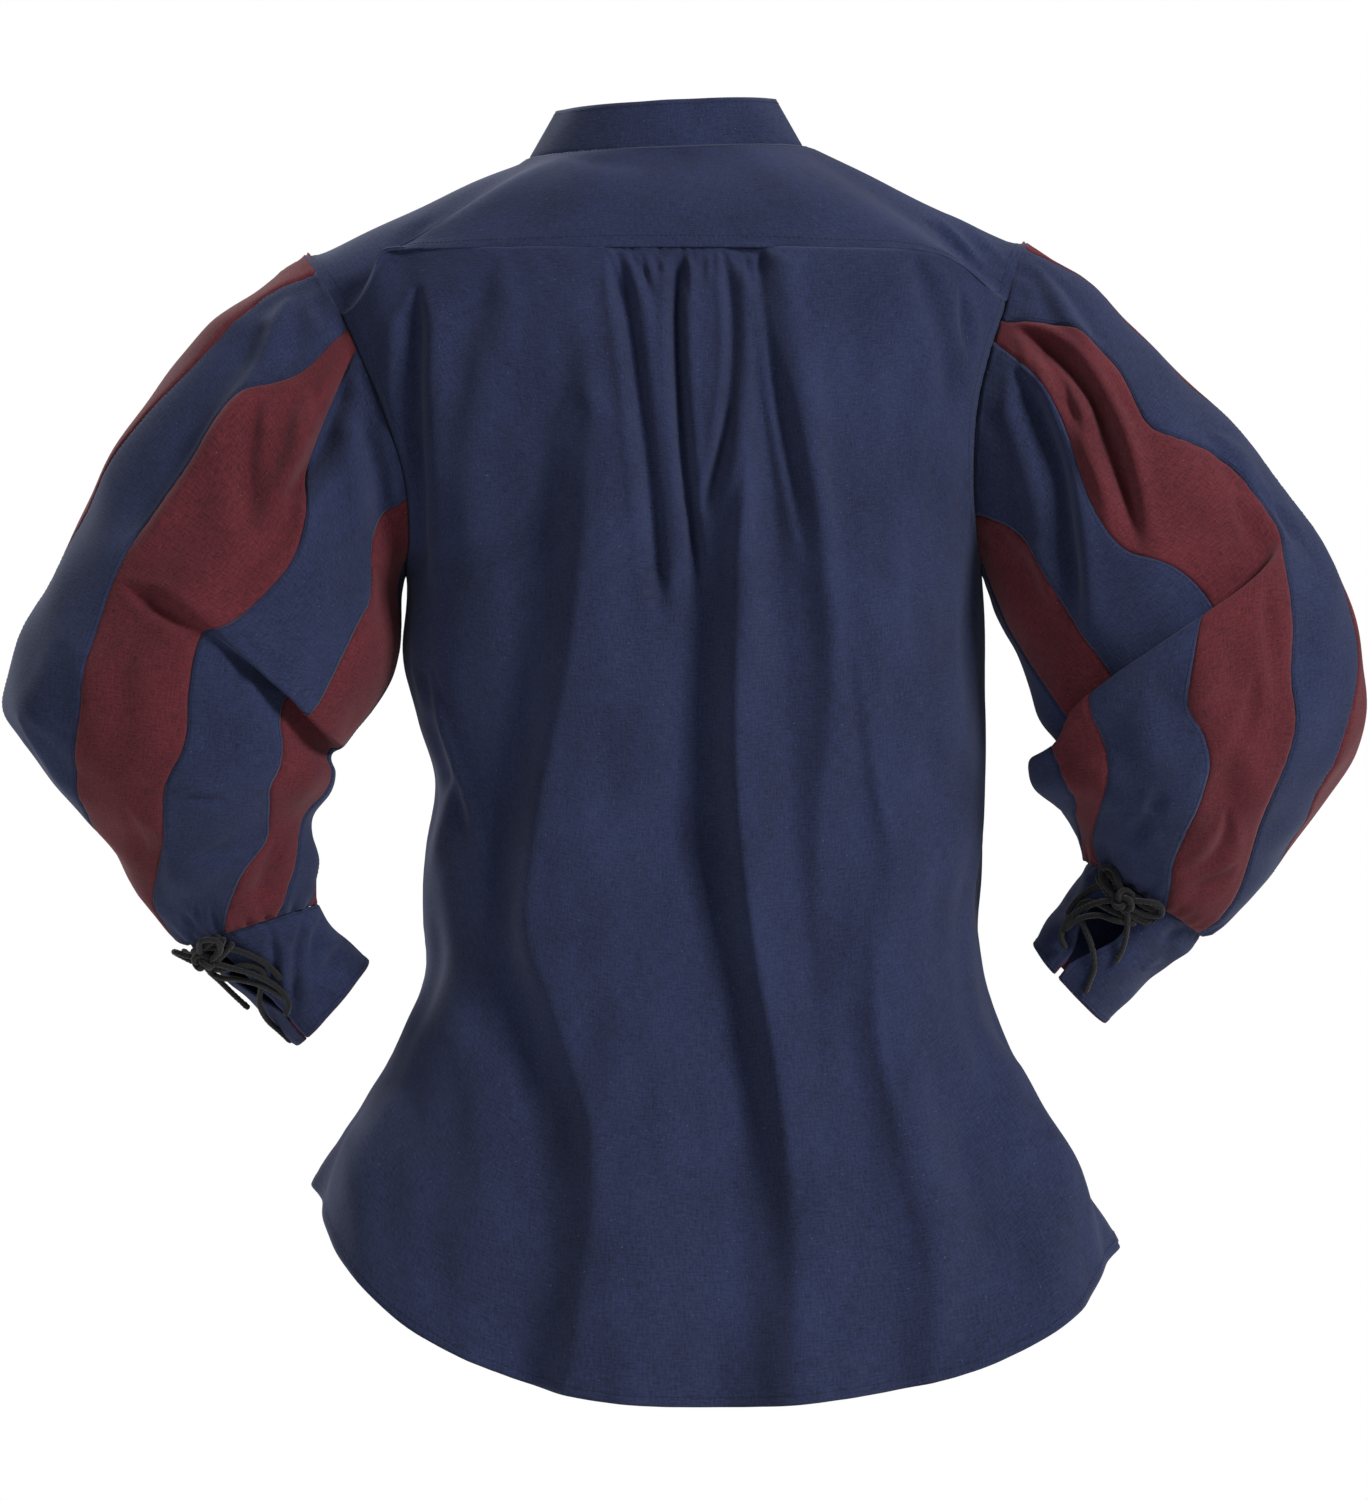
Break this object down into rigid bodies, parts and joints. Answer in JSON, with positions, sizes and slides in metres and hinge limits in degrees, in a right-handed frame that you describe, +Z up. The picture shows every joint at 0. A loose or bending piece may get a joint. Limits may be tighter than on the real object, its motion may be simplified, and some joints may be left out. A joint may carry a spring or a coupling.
{
  "type": "landsknecht shirt",
  "caption": "Wide pull-over shirt with stand collar, yoke, full striped sleeves gathered into laced cuffs, and a rounded tail, in its worn form.",
  "frame": {"origin": "middle of the neck opening, level with the neck seam, where the wearer's neck and shoulders hold the shirt", "axes": "+Z up, +X towards the wearer's left, the front faces -Y and the back faces +Y"},
  "size_m": [0.8956, 0.2862, 0.8534],
  "materials": {
    "navy_cotton": "matte plain weave with a soft nap",
    "burgundy_cotton": "matte plain weave with a soft nap",
    "black_cord": "matte braided cotton"
  },
  "bodies": {
    "root": {"back_panel": "navy_cotton", "front_panel": "navy_cotton", "yoke": "navy_cotton", "collar": "navy_cotton", "left_sleeve_blue_1": "navy_cotton", "left_sleeve_burgundy_1": "burgundy_cotton", "left_sleeve_blue_2": "navy_cotton", "left_sleeve_burgundy_2": "burgundy_cotton", "left_sleeve_blue_3": "navy_cotton", "left_sleeve_burgundy_3": "burgundy_cotton", "left_sleeve_blue_4": "navy_cotton", "left_sleeve_burgundy_4": "burgundy_cotton", "left_cuff": "navy_cotton", "left_cuff_lace": "black_cord", "left_cuff_knot": "black_cord", "right_sleeve_blue_1": "navy_cotton", "right_sleeve_burgundy_1": "burgundy_cotton", "right_sleeve_blue_2": "navy_cotton", "right_sleeve_burgundy_2": "burgundy_cotton", "right_sleeve_blue_3": "navy_cotton", "right_sleeve_burgundy_3": "burgundy_cotton", "right_sleeve_blue_4": "navy_cotton", "right_sleeve_burgundy_4": "burgundy_cotton", "right_cuff": "navy_cotton", "right_cuff_lace": "black_cord", "right_cuff_knot": "black_cord"}
  },
  "joints": []
}
